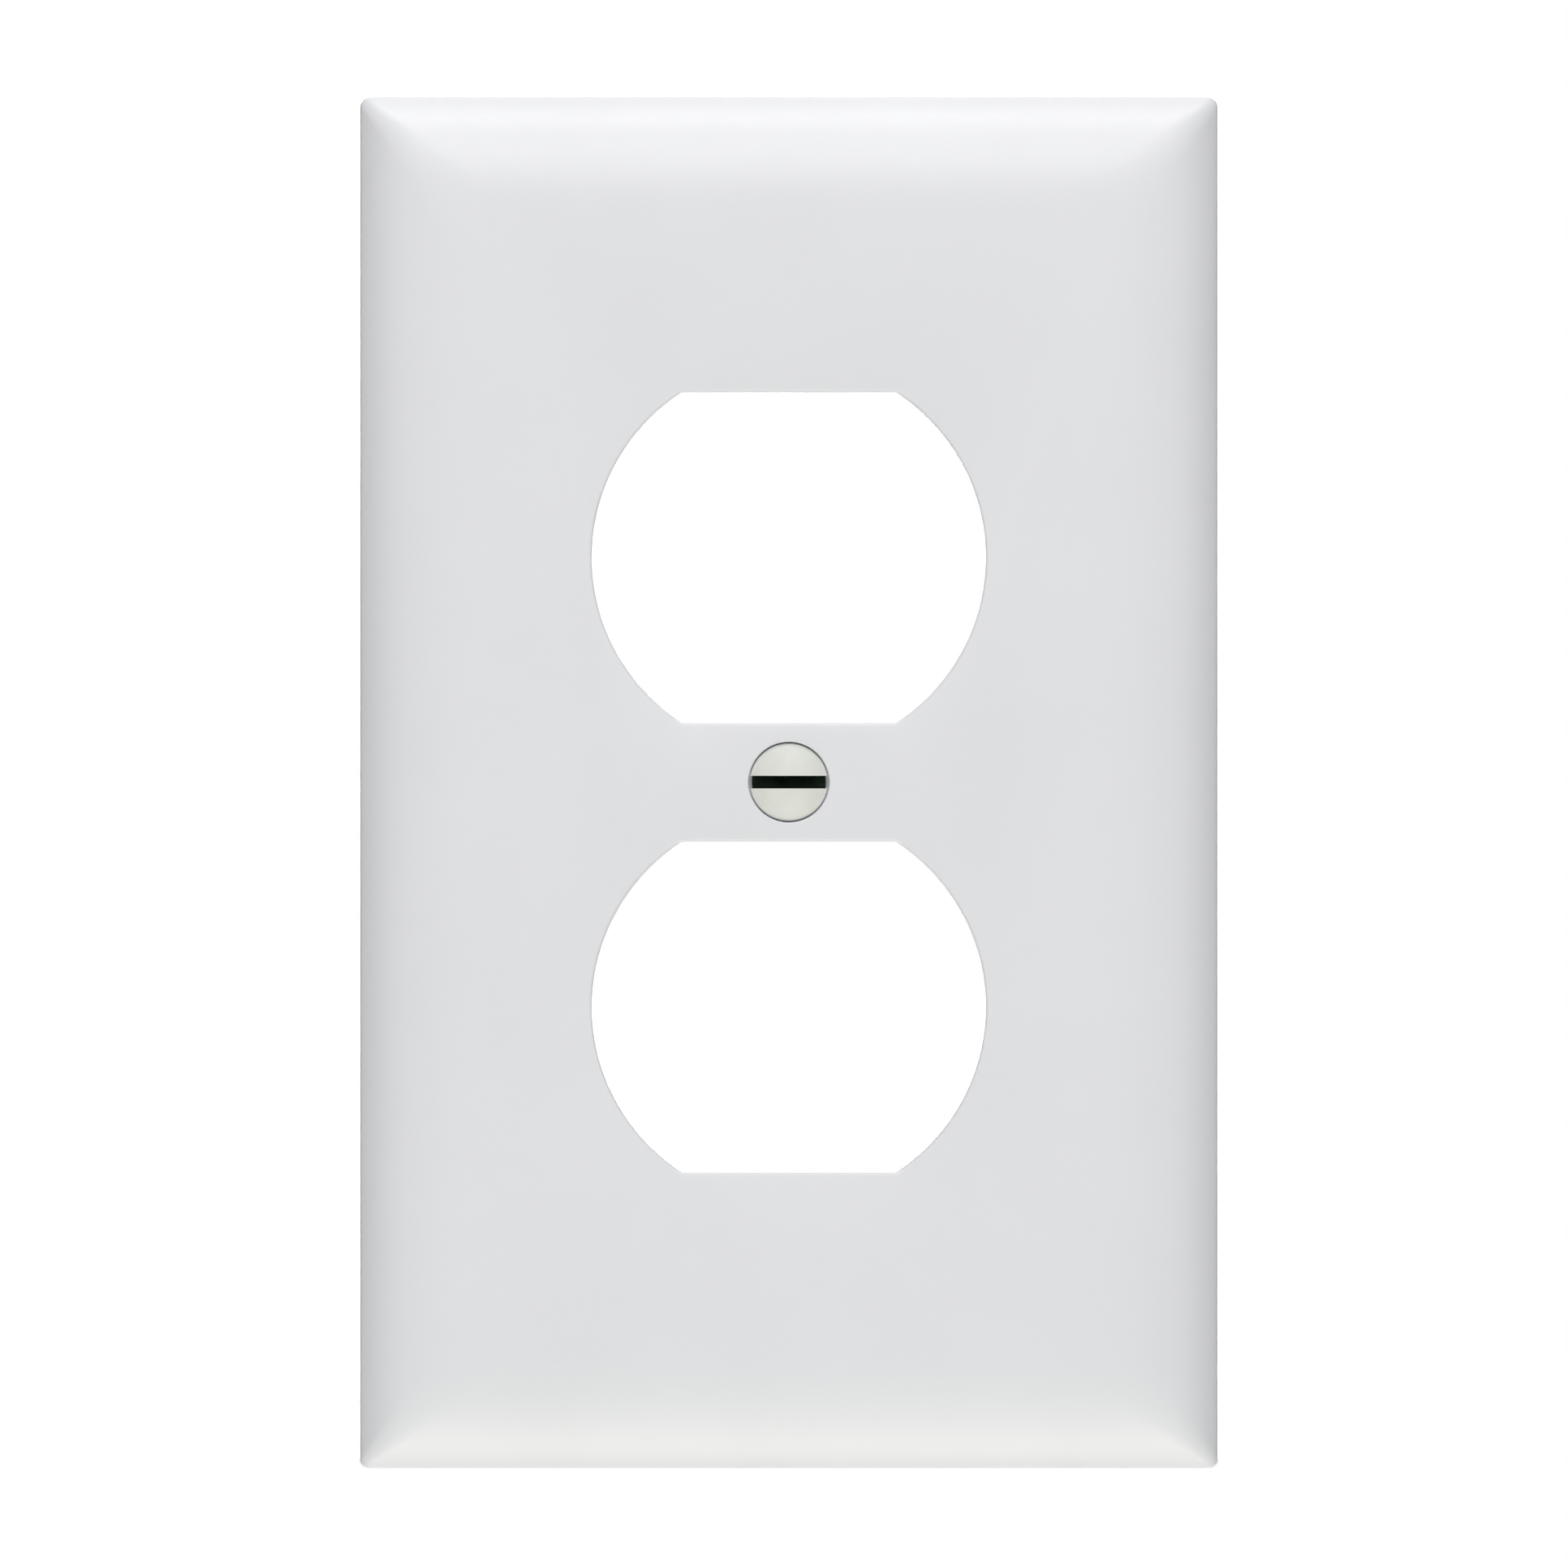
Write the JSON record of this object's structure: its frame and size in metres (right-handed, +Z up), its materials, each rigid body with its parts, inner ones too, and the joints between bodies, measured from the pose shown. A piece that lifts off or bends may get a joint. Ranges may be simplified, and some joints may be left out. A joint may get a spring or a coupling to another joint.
{
  "type": "duplex wall plate",
  "caption": "Crowned moulded wall plate with flat-sided round openings for the faces of a duplex outlet, held at its centre by a slotted oval-head screw with a retaining washer.",
  "frame": {"origin": "on the screw's axis, in the plane of the wall that the plate's rim rests on", "axes": "+X across the plate to the right as seen from the front, +Y into the wall, +Z up the plate"},
  "size_m": [0.0746, 0.017, 0.119],
  "materials": {
    "plate_nylon": "smooth satin gloss",
    "screw_steel": "white painted head on a zinc-plated shank",
    "washer_fibre": "matt off-white fibre"
  },
  "bodies": {
    "plate": {"wall_plate": "plate_nylon"},
    "washer": {"retaining_washer": "washer_fibre"},
    "screw": {"mounting_screw": "screw_steel"}
  },
  "joints": [
    {"name": "screw_travel", "type": "slide", "parent": "plate", "child": "washer", "axis": [0, -1, 0], "range_m": [0, 0.0007]},
    {"name": "screw_turn", "type": "hinge", "parent": "washer", "child": "screw", "pos_m": [0, 0, 0], "axis": [0, 1, 0], "continuous": true}
  ]
}
